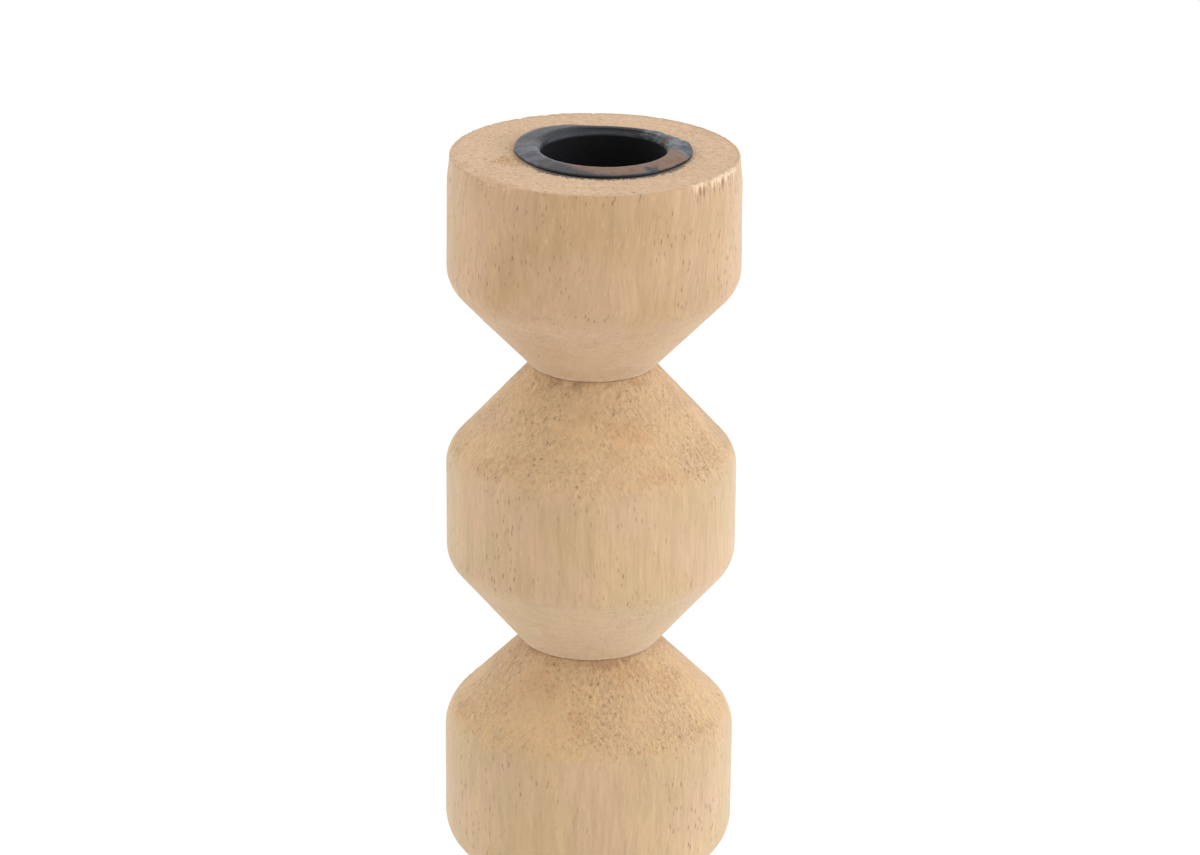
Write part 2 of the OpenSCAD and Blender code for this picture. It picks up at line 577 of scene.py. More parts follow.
@dataclass(frozen=True)
class WoodPlace:
    """Where a point of the wood lies, in millimetres, and what its surface is like.

    place is the place on the object, straight the place in the log, and grain the same
    place carried along by the wandering grain. crowd is how close together the pores lie.
    """

    g: Graph
    place: Socket
    straight: Socket
    grain: Socket
    crowd: Socket
    zones: Zones


@dataclass(frozen=True)
class RawWood:
    """Dry, open-pored, turned wood, whose pores run along the turning axis.

    Lengths are in millimetres. log is where in the log a bead was cut, lean how its
    grain leans from the axis in radians, swirl how far the grain wanders sideways and
    tear how rough its upper cone is. neck and low_neck are the radii of the necks above
    and below it. A tone is how strongly a pattern changes the colour, a share how far it
    covers the wood's own colour, and a relief how deep it is cut.
    """

    name: str
    log: Triple
    lean: Triple = ORIGIN
    swirl: float = 2.0
    tear: float = 1.0
    neck: float = 0.0
    low_neck: float = 0.0

    side: Colour = paint(208, 179, 137)
    rosy: Colour = paint(212, 180, 143)
    cone: Colour = paint(222, 186, 139)
    torn: Colour = paint(206, 162, 117)
    top: Colour = paint(199, 163, 123)
    pore: Colour = paint(124, 76, 36)
    pale: Colour = paint(226, 202, 168)
    # The colour of the painted shade in a crease.
    crease: Colour = paint(160, 114, 82)
    roughness: float = 0.85
    specular: float = 0.25
    fuzz: float = 0.26

    wander_pitch: float = 0.05
    fibre: Pattern = Pattern((1.3, 1.3, 0.18), 3.0, 0.65)
    grit: Pattern = Pattern((1.15, 1.15, 0.7), 3.0, 0.65)
    chatter: Pattern = Pattern((0.28, 0.28, 1.15), 3.0, 0.6)
    streak: Pattern = Pattern((0.5, 0.5, 0.045))
    crowd: Pattern = Pattern((0.11, 0.11, 0.07))
    patch: Pattern = Pattern((0.10, 0.10, 0.08))
    torn_patch: Pattern = Pattern(0.14)
    cloud: Pattern = Pattern((0.08, 0.08, 0.06), 1.0)
    bay: Pattern = Pattern(0.16)
    tooth: Pattern = Pattern((0.9, 0.9, 0.35))
    # The patches of the painted shade in a crease.
    shade_patch: Pattern = Pattern(0.30, 3.0, 0.6)
    fray: Pattern = Pattern(1.4, 2.0, 0.6)
    fray_patch: Pattern = Pattern(0.20)

    fine: Marks = Marks((1.45, 1.45, 0.42), 0.30, 0.10)
    coarse: Marks = Marks((0.95, 0.95, 0.22), 0.17, 0.50)
    pits: Marks = Marks((0.80, 0.80, 0.60), 0.30, 0.10, (9.3, 2.1, 4.7))
    # Pale streaks along the grain: raised fibres, partly a painted highlight beside the pores.
    hairs: Marks = Marks((1.05, 1.05, 0.26), 0.26, 0.35, (31.7, 12.9, 5.3))
    flecks: Marks = Marks((1.1, 1.1, 0.8), 0.32, 0.60, (3.1, 7.7, 1.9))

    fibre_tone: float = 0.34
    streak_tone: float = 0.17
    torn_tone: float = 0.66
    top_tone: float = 0.85
    chatter_tone: float = 0.22
    under_tone: float = 0.26
    cloud_tone: float = 0.16
    pore_share: float = 0.60
    pale_share: float = 0.60
    pore_relief: float = 0.12
    pale_relief: float = 0.05
    fibre_relief: float = 0.20
    torn_relief: float = 1.0
    smooth_relief: float = 0.18
    chatter_relief: float = 0.07

    def material(self) -> bpy.types.Material:
        """Build the material.

        Returns:
            The finished material.
        """
        finish = Finish(self.name, self.roughness, self.specular)
        g = finish.graph
        cut = {"Vector": finish.place, "Location": self.log, "Rotation": self.lean}
        straight = g.node("ShaderNodeMapping", cut).outputs[0]
        wander = g.drift(g.pitched(straight, self.wander_pitch), self.swirl)
        grain = g.vector("ADD", straight, g.vector("MULTIPLY", wander, (1.0, 1.0, 0.0)))
        zones = self.zones(g, straight, g.split(finish.facing)[2])

        fibre = self.fibre.on(g, grain)
        streak = self.streak.on(g, grain)
        grit = self.grit.on(g, grain)
        chatter = self.chatter.on(g, straight)
        crowd = g.ramp(self.crowd.on(g, straight), 0.40, 0.60)
        at = WoodPlace(g, finish.place, straight, grain, crowd, zones)
        rough = g.times(zones.cone, g.at_least(0.55, crowd))
        dark = self.open_pores(at)
        pale = self.fibres_and_highlights(at)

        tone = g.add(
            1.0,
            g.times(g.spread(fibre, self.fibre_tone), g.at_least(0.25, zones.along)),
            g.times(g.spread(streak, self.streak_tone), g.add(zones.along, 0.35)),
            g.times(g.spread(grit, self.torn_tone * self.tear), rough),
            g.times(g.spread(grit, self.top_tone), zones.flat),
            g.times(g.spread(chatter, self.chatter_tone), zones.under),
            g.times(g.spread(grit, self.under_tone), zones.under),
        )
        worn = g.scaled(self.tint(at), tone)
        worn = g.blend(g.times(dark, self.pore_share), worn, self.pore)
        # Pale fibres; the streaks along the grain are partly a painted highlight.
        worn = g.blend(g.times(pale, self.pale_share), worn, self.pale)
        # Painted shade in the crease at the top of an upper cone.
        worn = g.blend(self.crease_shade(at), worn, self.crease)
        worn = g.blend(self.fringe(at), worn, self.pale)
        finish.colour(self.marked(at, worn))
        finish.relief(
            g.add(
                g.times(dark, -self.pore_relief),
                g.times(pale, self.pale_relief),
                g.times(g.spread(fibre, self.fibre_relief), zones.along),
                g.times(g.spread(grit, self.torn_relief * self.tear), rough),
                g.times(g.spread(grit, self.smooth_relief), g.add(zones.flat, zones.under)),
                g.times(g.spread(chatter, self.chatter_relief), zones.under),
            )
        )
        finish.surface["Diffuse Roughness"].default_value = 0.5
        finish.surface["Sheen Weight"].default_value = self.fuzz
        finish.surface["Sheen Roughness"].default_value = 0.5
        return finish.material

    def zones(self, g: Graph, straight: Socket, rise: Socket) -> Zones:
        """Tell the turned surfaces apart by how far they look up or down.

        Args:
            g: the material's graph.
            straight: the place in the log.
            rise: the upward part of the surface's outward direction.

        Returns:
            The share of each kind of surface.
        """
        bays = g.spread(self.bay.on(g, straight), 0.50)
        teeth = g.spread(self.tooth.on(g, straight), 0.45)
        upward = g.ramp(g.add(rise, bays, teeth), 0.34, 0.67)
        flat = g.ramp(rise, 0.90, 0.98)
        under = g.ramp(g.times(rise, -1.0), 0.25, 0.65)
        return Zones(g.rest(g.either(upward, flat, under)), g.times(upward, g.rest(flat)), flat, under)

    def tint(self, at: WoodPlace) -> Socket:
        """Give the wood's plain colour, which drifts slowly from yellow to rosy.

        Args:
            at: the place in the wood.

        Returns:
            The colour, before streaks and pores.
        """
        g, zones = at.g, at.zones
        patch = self.patch.on(g, at.straight)
        torn_patch = g.ramp(self.torn_patch.on(g, at.straight), 0.52, 0.68)
        tint = g.blend(g.ramp(patch, 0.36, 0.64), self.side, self.rosy)
        tint = g.blend(g.times(zones.cone, g.ramp(patch, 0.30, 0.60, 1.0, 0.55)), tint, self.cone)
        tint = g.blend(g.times(zones.cone, torn_patch, 0.40 * self.tear), tint, self.torn)
        tint = g.blend(zones.flat, tint, self.top)
        return g.scaled(tint, g.add(1.0, g.spread(self.cloud.on(g, at.straight), self.cloud_tone)))

    def open_pores(self, at: WoodPlace) -> Socket:
        """Draw the pores as dark dashes along the grain and as pits across it.

        Args:
            at: the place in the wood.

        Returns:
            1 in a deep pore and 0 between pores.
        """
        g, zones = at.g, at.zones
        fine = self.fine.on(g, at.grain)
        coarse = g.times(self.coarse.on(g, at.grain), 0.48)
        dashes = g.either(g.times(fine, g.add(g.times(at.crowd, 0.75), 0.10)), coarse)
        pits = g.either(g.times(self.pits.on(g, at.grain), 0.80), g.times(fine, 0.58))
        return g.add(
            g.times(dashes, zones.mixed(g, along=0.85, under=0.65)),
            g.times(pits, g.at_least(0.35, at.crowd), zones.mixed(g, cone=0.90 * self.tear, flat=0.90)),
        )

    def fibres_and_highlights(self, at: WoodPlace) -> Socket:
        """Draw the pale fibres that the tool has raised along the grain and torn across it, those along the
        grain partly a painted highlight.

        Args:
            at: the place in the wood.

        Returns:
            1 on a pale fibre and 0 between them.
        """
        g, zones = at.g, at.zones
        hairs = g.times(self.hairs.on(g, at.grain), zones.along, 0.55)
        torn = zones.mixed(g, cone=0.80 * self.tear, flat=0.80, under=0.45)
        return g.add(hairs, g.times(self.flecks.on(g, at.straight), torn))

    def crease_shade(self, at: WoodPlace) -> Socket:
        """Find where painted shade darkens an upper cone in the crease under the bead above, in uneven
        patches.

        Args:
            at: the place in the wood.

        Returns:
            How strong the painted shade is, up to about a third.
        """
        g = at.g
        beyond = g.add(g.radius(at.place), -self.neck)
        patches = g.ramp(self.shade_patch.on(g, at.straight), 0.42, 0.60)
        near = g.ramp(g.add(beyond, g.spread(patches, -1.2)), 1.3, 0.2)
        return g.times(near, g.add(g.times(patches, 0.26), 0.08), at.zones.cone)

    def fringe(self, at: WoodPlace) -> Socket:
        """Find where the edge under a lower cone has frayed.

        Args:
            at: the place in the wood.

        Returns:
            How frayed the wood is, from 0 to 1.
        """
        g = at.g
        beyond = g.add(g.radius(at.place), -self.low_neck)
        patches = g.ramp(self.fray_patch.on(g, at.straight), 0.44, 0.58)
        near = g.ramp(g.add(beyond, g.spread(self.fray.on(g, at.straight), 2.4)), 0.55, 0.15)
        return g.times(near, patches, at.zones.under, 0.75)

    def marked(self, at: WoodPlace, colour: Socket) -> Socket:
        """Add the marks that one bead has apart from the rest, which here are none."""
        return colour


@dataclass(frozen=True)
class CupBeadWood(RawWood):
    """The top bead's wood, with sooty specks and scorching by the cup, a painted shadow round the cup's lip
    and a rim that is torn.

    cup is the cup's middle and lip its reach. head is the top face's height and rim its
    radius. scorched is where the scorch lies, all in millimetres. Arcs are in degrees.
    """

    cup: tuple[float, float] = (0.0, 0.0)
    lip: float = 15.3
    head: float = 0.0
    rim: float = 25.5
    scorched: tuple[float, float] = (-14.8, -5.2)
    scorch_reach: float = 5.0
    torn_arc: tuple[float, float] = (-52.0, -14.0)
    nicked_arc: tuple[float, float] = (-146.0, -122.0)
    arc_fade: float = 7.0
    # Dark sooty specks near the scorch, and the painted shadow round the cup's lip.
    soot_and_shadow: Colour = paint(42, 26, 14)
    scorch: Colour = paint(186, 140, 80)
    frayed: Colour = paint(246, 222, 188)
    shadow_ring_edge: Pattern = Pattern(1.8, 2.0, 0.6)
    speckle: Pattern = Pattern(1.6, 2.0, 0.7)
    strand: Pattern = Pattern((2.3, 2.3, 0.22), 2.0, 0.6)

    def marked(self, at: WoodPlace, colour: Socket) -> Socket:
        """Add the sooty specks, the scorch, the painted shadow round the cup's lip and the torn rim.

        Args:
            at: the place in the wood.
            colour: the wood's colour without them.

        Returns:
            The colour with them.
        """
        g, place = at.g, at.place
        x, y, z = g.split(place)
        turn = g.turn(x, y)
        top = g.ramp(z, self.head - 1.0, self.head - 0.5)
        speck = self.speckle.on(g, place)
        near = g.ramp(self.reach(g, x, y, self.scorched), self.scorch_reach, 0.0)
        burnt = g.times(g.ramp(near, 0.1, 0.7), g.ramp(speck, 0.32, 0.50), top)
        dots = g.times(g.ramp(near, 0.02, 0.35), g.ramp(speck, 0.54, 0.64), top)
        colour = g.blend(g.times(burnt, 0.85), colour, self.scorch)

        # Painted contact shadow: a ragged dark ring on the wood just outside the cup's lip, strongest at the
        # front.
        front = g.times(g.ramp(turn, -5.0, -40.0), g.ramp(turn, -155.0, -120.0))
        beyond = g.add(self.reach(g, x, y, self.cup), -self.lip)
        ragged = g.spread(self.shadow_ring_edge.on(g, place), 3.4)
        ring = g.times(
            g.ramp(g.add(beyond, ragged, g.times(front, -0.30)), 0.56, 0.42),
            g.add(g.times(front, 0.55), 0.35),
            top,
        )
        colour = g.blend(g.either(g.times(dots, 0.72), ring), colour, self.soot_and_shadow)
        return self.torn_rim(at, turn, colour)

    def torn_rim(self, at: WoodPlace, turn: Socket, colour: Socket) -> Socket:
        """Add the pale strands that hang from the torn rim, and painted shade in the gaps between them.

        Args:
            at: the place in the wood.
            turn: the direction about the axis, in degrees.
            colour: the wood's colour without them.

        Returns:
            The colour with them.
        """
        g, place = at.g, at.place
        drop = g.math("SUBTRACT", self.head, g.split(place)[2])
        edge = g.ramp(g.radius(place), self.rim - 1.0, self.rim - 0.3)
        strands = self.strand.on(g, place)
        hang = g.ramp(g.add(drop, g.spread(strands, -6.0)), 0.75, 0.25)
        arcs = g.times(
            g.either(self.arc(g, turn, self.torn_arc), g.times(self.arc(g, turn, self.nicked_arc), 0.25)),
            edge,
        )
        colour = g.blend(g.times(arcs, hang, 0.80), colour, self.frayed)
        # Painted shade: the pore colour darkens the gaps between the strands, below the rim.
        reach = g.times(g.ramp(drop, 3.6, 1.2), g.ramp(drop, 0.3, 0.7))
        return g.blend(g.times(arcs, reach, g.ramp(strands, 0.46, 0.38), 0.60), colour, self.pore)

    @staticmethod
    def reach(g: Graph, x: Socket, y: Socket, centre: tuple[float, float]) -> Socket:
        """Give the level distance from an upright line."""
        return g.vector("LENGTH", g.joined(g.add(x, -centre[0]), g.add(y, -centre[1]), 0.0))

    def arc(self, g: Graph, turn: Socket, ends: tuple[float, float]) -> Socket:
        """Give 1 between two directions about the axis, with soft ends."""
        start, end = ends
        return g.times(g.ramp(turn, start, start + self.arc_fade), g.ramp(turn, end, end - self.arc_fade))


@dataclass(frozen=True)
class LipPlace:
    """Where a point of the cup lies, with the noise that makes the marks there ragged.

    place is the place from the lip's middle and z its height, in millimetres. across is
    the share of the lip's width out from the bore, and turn the direction in degrees.
    ragged is across and skewed is turn, both made uneven.
    """

    g: Graph
    place: Socket
    z: Socket
    across: Socket
    turn: Socket
    mottle: Socket
    ragged: Socket
    skewed: Socket

    def within(self, turn: Socket, arc: tuple[float, float], soft: float) -> Socket:
        """Mask an arc of the lip, with ragged ends.

        Args:
            turn: the direction about the cup's axis.
            arc: the arc's two ends.
            soft: how far each end fades, in degrees.

        Returns:
            1 in the arc and 0 outside it.
        """
        g = self.g
        wavy = g.add(turn, g.spread(self.mottle, 4.0 * soft))
        start, end = arc
        return g.times(g.ramp(wavy, start - soft, start + soft), g.ramp(wavy, end + soft, end - soft))


@dataclass(frozen=True)
class BlackenedIron:
    """Forged iron, blackened in the fire and worn brown along the front of its lip.

    centre is the cup's axis and the wood's top face, bore and lip are radii, all in
    millimetres. The marks on the lip lie between directions in degrees.
    """

    name: str
    centre: Triple
    bore: float
    lip: float
    scale: Colour = paint(51, 52, 58)
    # Paler scale, also the colour of the painted highlights on the back's edges.
    pale_scale_and_highlight: Colour = paint(94, 95, 102)
    crust: Colour = paint(108, 116, 120)
    # The painted shade on the back of the lip.
    shade: Colour = paint(30, 31, 34)
    # Soot and painted shade in the bore, and the painted shadow on the lip's outer edge.
    soot_and_shadow: Colour = paint(4, 4, 7)
    brown: Colour = paint(126, 99, 80)
    rust: Colour = paint(112, 62, 48)
    brown_arc: tuple[float, float] = (-124.0, -26.0)
    facet_arc: tuple[float, float] = (-46.0, -4.0)
    crust_arc: tuple[float, float] = (-5.0, 52.0)
    crust_skew: float = 12.0
    rust_arc: tuple[float, float] = (16.5, 25.0)
    chipped_arc: tuple[float, float] = (-60.0, -49.0)
    cloud: Pattern = Pattern(0.20)
    mottle: Pattern = Pattern(0.75, 3.0, 0.65)
    grain: Pattern = Pattern(3.2, 2.0, 0.6)
    flake: Pattern = Pattern(0.50, 2.0, 0.6)

    def material(self) -> bpy.types.Material:
        """Build the material.

        Returns:
            The finished material.
        """
        finish = Finish(self.name, roughness=0.5, specular=0.35)
        g = finish.graph
        place = g.vector("SUBTRACT", finish.place, self.centre)
        lip = self.lip_place(g, place)
        mottle = lip.mottle
        grain = self.grain.on(g, place)

        worn = self.worn(lip)
        spot = g.times(
            lip.within(lip.turn, self.rust_arc, 2.0),
            g.ramp(g.math("ABSOLUTE", g.add(lip.ragged, -0.20)), 0.24, 0.13),
        )
        crusted = g.times(lip.within(lip.skewed, self.crust_arc, 4.0), g.ramp(lip.z, 0.1, 0.5))
        flakes = g.ramp(self.flake.on(g, place), 0.40, 0.60, 0.30, 1.0)
        smears = g.noise(g.joined(g.times(lip.turn, 0.10), g.times(lip.across, 2.4), 0.0), 1.0, 2.0, 0.6)
        freckles = g.times(worn, g.ramp(smears, 0.52, 0.66))
        tint = g.blend(g.times(worn, 0.92), self.bare(lip), self.brown)
        tint = g.blend(g.either(g.times(spot, 0.65), g.times(freckles, 0.45)), tint, self.rust)
        tint = g.blend(g.times(crusted, flakes, g.rest(spot)), tint, self.crust)

        # Soot and painted shade: the bore goes black below its mouth. Painted shadow: the front of the lip's
        # outer edge goes black.
        deep = g.ramp(lip.z, 0.42, -0.05)
        low = g.ramp(g.add(lip.z, g.spread(mottle, 0.4)), 0.60, 0.36)
        front = g.ramp(g.math("ABSOLUTE", g.add(lip.turn, 60.0)), 120.0, 90.0)
        edge_shadow = g.times(g.ramp(lip.across, 0.70, 0.85), low, front)
        tone = g.add(1.0, g.spread(mottle, 0.55), g.spread(grain, 0.35))
        finish.colour(g.blend(g.either(deep, edge_shadow), g.scaled(tint, tone), self.soot_and_shadow))
        matt = g.add(g.times(worn, 0.10), g.times(crusted, 0.10), g.times(deep, 0.4), g.spread(mottle, 0.25))
        g.put(finish.surface["Roughness"], g.add(0.44, matt))
        lumps = g.add(1.0, g.times(crusted, 3.0))
        finish.relief(g.times(g.add(g.spread(mottle, 0.12), g.spread(grain, 0.04)), lumps))
        return finish.material

    def lip_place(self, g: Graph, place: Socket) -> LipPlace:
        """Work out where on the lip a point lies.

        Args:
            g: the material's graph.
            place: the place from the lip's middle, in millimetres.

        Returns:
            The place on the lip.
        """
        x, y, z = g.split(place)
        across = g.math("DIVIDE", g.add(g.radius(place), -self.bore), self.lip - self.bore)
        turn = g.turn(x, y)
        mottle = self.mottle.on(g, place)
        skew = g.times(g.ramp(across, 0.3, 1.0), g.ramp(turn, 20.0, 5.0), self.crust_skew)
        ragged = g.add(across, g.spread(mottle, 0.6))
        return LipPlace(g, place, z, across, turn, mottle, ragged, g.add(turn, skew))

    def bare(self, lip: LipPlace) -> Socket:
        """Give the colour of the fire scale, which is paler on the left, with painted highlights along the
        back's two edges and painted shade on the back between them.

        Args:
            lip: the place on the lip.

        Returns:
            The colour, before wear and crust.
        """
        g = lip.g
        left = g.add(g.ramp(lip.turn, -110.0, -160.0), g.ramp(lip.turn, 158.0, 174.0))
        # Painted shade on the back of the lip, and painted highlights along its outer edge and its bore edge
        # there.
        back = g.times(g.ramp(lip.turn, 42.0, 62.0), g.ramp(lip.turn, 172.0, 146.0))
        edge_highlights = g.either(
            g.times(g.ramp(lip.across, 0.74, 0.90), g.ramp(lip.z, 0.30, 0.65), back),
            g.times(g.ramp(lip.across, 0.08, 0.01), g.ramp(lip.z, 0.95, 0.70), back),
        )
        veins = g.noise(g.joined(g.times(lip.turn, 0.12), g.times(lip.across, 1.2), 0.0), 1.0, 3.0, 0.6)
        paler = g.add(
            g.times(left, g.ramp(veins, 0.36, 0.62, 0.05, 0.95)),
            g.times(edge_highlights, 0.85),
            g.ramp(self.cloud.on(g, lip.place), 0.45, 0.75, -0.15, 0.35),
        )
        tint = g.blend(g.either(paler, 0.0), self.scale, self.pale_scale_and_highlight)
        # Painted shade darkens the back of the lip between its painted highlights.
        return g.blend(g.times(back, g.rest(edge_highlights), 0.85), tint, self.shade)

    def worn(self, lip: LipPlace) -> Socket:
        """Find where the lip is worn brown: the inside of its front, and the facet at its right.

        Args:
            lip: the place on the lip.

        Returns:
            How far the black is worn away, from 0 to 1.
        """
        g = lip.g
        reach = g.ramp(lip.turn, -125.0, -80.0, 0.36, 0.80)
        inner = g.ramp(g.math("SUBTRACT", lip.ragged, reach), 0.12, -0.12)
        front = g.times(lip.within(lip.turn, self.brown_arc, 12.0), inner)
        facet_end = g.ramp(lip.ragged, 1.20, 1.02)
        facet = g.times(lip.within(lip.skewed, self.facet_arc, 4.0), facet_end)
        chip_start = g.ramp(lip.ragged, 0.45, 0.62)
        chipped = g.times(lip.within(lip.turn, self.chipped_arc, 2.5), chip_start)
        return g.times(g.either(front, facet), g.ramp(lip.mottle, 0.26, 0.44, 0.2, 1.0), g.rest(chipped))


@dataclass(frozen=True)
class DowelWood:
    """Smooth, pale dowel wood with a fine straight grain."""

    name: str = "dowel_wood"
    pale: Colour = paint(226, 200, 160)
    dark: Colour = paint(205, 172, 128)
    fibre: Pattern = Pattern((2.0, 2.0, 0.12), 3.0, 0.6)

    def material(self) -> bpy.types.Material:
        """Build the material.

        Returns:
            The finished material.
        """
        finish = Finish(self.name, roughness=0.7, specular=0.3)
        g = finish.graph
        fibre = self.fibre.on(g, finish.place)
        finish.colour(g.blend(g.ramp(fibre, 0.3, 0.7), self.pale, self.dark))
        finish.relief(g.spread(fibre, 0.06))
        return finish.material


@dataclass(frozen=True)
class Felt:
    """Pressed wool felt: matt, mottled and slightly hairy."""

    name: str = "foot_felt"
    dark: Colour = paint(58, 48, 42)
    pale: Colour = paint(96, 82, 72)
    hair: Pattern = Pattern((1.2, 4.0, 2.5), 3.0, 0.7)
    clump: Pattern = Pattern(0.35)

    def material(self) -> bpy.types.Material:
        """Build the material.

        Returns:
            The finished material.
        """
        finish = Finish(self.name, roughness=1.0, specular=0.1)
        g = finish.graph
        wander = g.drift(g.scaled(finish.place, 0.8), 1.6)
        hairs = self.hair.on(g, g.vector("ADD", finish.place, wander))
        shade = g.add(g.ramp(hairs, 0.35, 0.7, 0.0, 0.7), g.spread(self.clump.on(g, finish.place), 0.6))
        finish.colour(g.blend(shade, self.dark, self.pale))
        finish.relief(g.spread(hairs, 0.30))
        finish.surface["Sheen Weight"].default_value = 0.4
        return finish.material


@dataclass(frozen=True)
class StudioPaper:
    """The plain pale floor."""

    name: str = "studio_paper"
    pale: Colour = (0.90, 0.90, 0.90)

    def material(self) -> bpy.types.Material:
        """Build the material.

        Returns:
            The finished material.
        """
        finish = Finish(self.name, roughness=0.95, specular=0.05)
        finish.colour(self.pale)
        return finish.material


# ---------------------------------------------------------------- the wooden beads


def wood_turning() -> GeometryTree:
    """Build the tree that turns a bead and gives its surface the wood's relief.

    Returns:
        The tree. Its depths are in metres.
    """
    tree = GeometryTree(
        "wood_turning",
        {
            "Around": ("Int", 512),
            "Shift": ("Vector", ORIGIN),
            "Sway": ("Vector", ORIGIN),
            "Log": ("Vector", ORIGIN),
            "Swell": ("Float", 0.16 * MM),
            "Out of round": ("Float", 0.1 * MM),
            "Grain depth": ("Float", 0.03 * MM),
            "Tool depth": ("Float", 0.02 * MM),
            "Tear depth": ("Float", 0.11 * MM),
            "Chip depth": ("Float", 0.3 * MM),
            "Nick depth": ("Float", 0.5 * MM),
            "Torn place": ("Vector", ORIGIN),
            "Nicked place": ("Vector", ORIGIN),
        },
    )
    given = tree.given
    skin = tree.turned()
    place = tree.vector("ADD", tree.scaled(tree.position(), PER_MM), given["Log"])
    outward = tree.normal()
    rise = tree.split(outward)[2]
    upward = tree.ramp(rise, 0.30, 0.60)
    level = tree.ramp(tree.math("ABSOLUTE", rise), 0.90, 0.98)
    bulge = tree.spread(tree.noise(place, 0.035, 1.0), 4.0)
    ripple = tree.lump(place, (0.02, 0.02, 1.1), 1.0)
    grain = tree.lump(place, (0.8, 0.8, 0.05))
    grit = tree.lump(place, 0.85, 2.0, 0.6)
    relief = tree.add(
        tree.times(given["Swell"], tree.rest(level)),
        tree.times(bulge, given["Out of round"]),
        tree.times(ripple, given["Tool depth"]),
        tree.times(grain, given["Grain depth"], tree.rest(upward)),
        tree.times(grit, given["Tear depth"], upward, tree.rest(tree.times(level, 0.7))),
    )

    rim = tree.attribute("rim")
    torn_away = tree.vector("DISTANCE", tree.position(), given["Torn place"])
    nicked_away = tree.vector("DISTANCE", tree.position(), given["Nicked place"])
    torn = tree.ramp(tree.math("MINIMUM", torn_away, nicked_away), 9.0 * MM, 3.0 * MM)
    bite = tree.ramp(tree.noise(place, (0.95, 0.95, 0.25)), 0.52, 0.70)
    chips = tree.times(rim, bite, tree.add(0.35, torn), given["Chip depth"])
    nick = tree.times(rim, tree.ramp(nicked_away, 6.5 * MM, 1.5 * MM), given["Nick depth"])
    height = tree.math("SUBTRACT", tree.times(relief, tree.attribute("worked")), tree.add(chips, nick))
    tree.close(tree.moved(skin, tree.vector("ADD", tree.scaled(outward, height), given["Sway"])))
    return tree


@dataclass(frozen=True)
class Joint:
    """A neck, where one bead stands on the next: its radii, hole and dowel."""

    below: float
    above: float
    hole: float = 5.05 * MM
    seam: float = 0.25 * MM

    def end(self, z: float, facing: Facing, depth: float) -> list[Corner]:
        """Give the corners of a bead's end, from the axis out to the neck.

        Args:
            z: height of the end face.
            facing: which way it looks.
            depth: how deep its dowel hole goes.

        Returns:
            The corners from the bottom of the dowel hole to the edge of the neck.
        """
        radius = self.below if facing is Facing.UP else self.above
        inward = -facing.value
        return [
            Corner(0.0, z + inward * depth),
            Corner(self.hole, z + inward * depth),
            Corner(self.hole, z),
            Corner(radius - self.seam, z),
            Corner(radius, z + inward * self.seam, shown=True, worked=0.8),
        ]


@dataclass
class Bead:
    """One turned bead. Its ends and its width come from the CAD node that it stands for."""

    node: str
    log: Triple
    lean: Triple = ORIGIN
    swirl: float = 2.0
    tear: float = 1.0
    sway: Triple = ORIGIN
    step: float = 0.37 * MM
    around: int = 512

    def __post_init__(self) -> None:
        """Read the bead's height and radius from the frame."""
        low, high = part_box(self.node)
        self.foot, self.head = low[2], high[2]
        self.radius = (high[0] - low[0]) / 2

    def corners(self) -> list[Corner]:
        """Give the bead's outline."""
        raise NotImplementedError

    def neck_radii(self) -> tuple[float, float]:
        """Give the radii of the necks below and above the bead, or 0 where it has none."""
        raise NotImplementedError

    def wood(self) -> RawWood:
        """Give the bead's finish.

        Returns:
            The wood, with what the necks' radii say about its creases.
        """
        low, high = (radius * PER_MM for radius in self.neck_radii())
        name = f"{self.node}_wood"
        return RawWood(name, self.log, self.lean, self.swirl, self.tear, neck=high, low_neck=low)

    def build(self, turning: GeometryTree, **values: object) -> None:
        """Turn the bead and dress it.

        Args:
            turning: the tree that turns a bead.
            values: further inputs of the tree.
        """
        piece = Outline(self.corners(), self.step).chain(f"{self.node}_turned")
        finish = self.wood().material()
        turning.apply(piece, finish, Around=self.around, Log=self.log, Sway=self.sway, **values)
        place_on_body(piece, Slot.WOOD, self.node)


@dataclass
class MiddleBead(Bead):
    """A bead with a cone at each end."""

    taper: float = 16.0 * MM
    shoulder: float = 16.0 * MM
    low_neck: Joint | None = None
    high_neck: Joint | None = None
    low_hole: float = 15.5 * MM
    high_hole: float = 15.5 * MM
    soft: float = 6.0 * MM

    def neck_radii(self) -> tuple[float, float]:
        """Give the radii of the necks below and above the bead."""
        return self.low_neck.above, self.high_neck.below

    def corners(self) -> list[Corner]:
        """Give the bead's outline.

        Returns:
            The corners from the lower dowel hole, round the band, to the upper one.
        """
        low = self.low_neck.end(self.foot, Facing.DOWN, self.low_hole)
        high = self.high_neck.end(self.head, Facing.UP, self.high_hole)
        heights = self.foot + self.taper, self.head - self.shoulder
        band = [Corner(self.radius, z, self.soft, shown=True, worked=1.0) for z in heights]
        return low + band + high[::-1]


